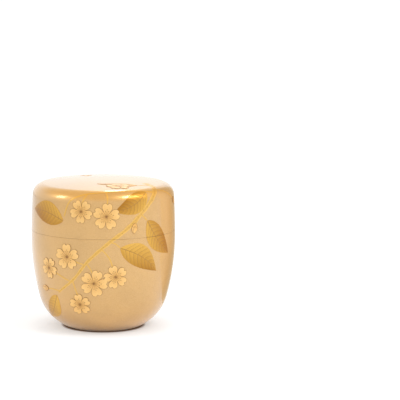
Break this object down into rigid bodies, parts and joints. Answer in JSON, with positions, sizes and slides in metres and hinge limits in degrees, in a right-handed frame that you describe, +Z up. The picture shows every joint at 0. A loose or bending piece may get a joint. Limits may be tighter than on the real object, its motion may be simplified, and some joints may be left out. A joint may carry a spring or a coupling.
{
  "type": "lidded tea caddy",
  "caption": "Round lacquered wooden tea caddy with a rounded lid that slips over a spigot, a gold ground outside and a cherry spray in raised gold.",
  "frame": {"origin": "middle of the foot, on the surface that the caddy stands on", "axes": "+Z up the turning axis, -Y towards the front of the cup, +X to the right seen from the front"},
  "size_m": [0.066, 0.0663, 0.0674],
  "materials": {
    "turned_wood": "fine-grained, turned thin",
    "gold_ground": "fine gold powder under polished clear lacquer",
    "pear_skin_lacquer": "gold flakes deep in amber lacquer, polished",
    "leaf_gold": "raised lacquer under deep yellow gold powder, burnished",
    "blossom_gold": "raised lacquer under pale gold powder, burnished",
    "branch_gold": "raised lacquer under yellow gold powder, burnished"
  },
  "bodies": {
    "cup": {"cup_core": "turned_wood", "cup_gold_ground": "gold_ground", "cup_inner_lacquer": "pear_skin_lacquer", "spigot_lacquer": "gold_ground", "foot_lacquer": "gold_ground", "base_lacquer": "pear_skin_lacquer", "blossom_1": "blossom_gold", "blossom_2": "blossom_gold", "blossom_3": "blossom_gold", "blossom_4": "blossom_gold", "blossom_5": "blossom_gold", "blossom_9": "blossom_gold", "blossom_10": "blossom_gold", "blossom_11": "blossom_gold", "bud_2": "blossom_gold", "bud_4": "blossom_gold", "petal_1": "blossom_gold", "petal_5": "blossom_gold", "leaf_1_lower": "leaf_gold", "leaf_2": "leaf_gold", "leaf_4": "leaf_gold", "leaf_7": "leaf_gold", "leaf_8": "leaf_gold", "front_branch_lower": "branch_gold", "back_branch": "branch_gold"},
    "lid": {"lid_core": "turned_wood", "lid_gold_ground": "gold_ground", "lid_inner_lacquer": "pear_skin_lacquer", "lid_rim_lacquer": "gold_ground", "blossom_6": "blossom_gold", "blossom_7": "blossom_gold", "blossom_8": "blossom_gold", "bud_1": "blossom_gold", "bud_3": "blossom_gold", "petal_2": "blossom_gold", "petal_3": "blossom_gold", "petal_4": "blossom_gold", "petal_6": "blossom_gold", "leaf_1_upper": "leaf_gold", "leaf_3": "leaf_gold", "leaf_5": "leaf_gold", "leaf_6": "leaf_gold", "front_branch_upper": "branch_gold"}
  },
  "joints": [
    {"name": "lid_lift", "type": "slide", "parent": "cup", "child": "lid", "axis": [0, 0, 1], "range_m": [0, 0.07]}
  ]
}
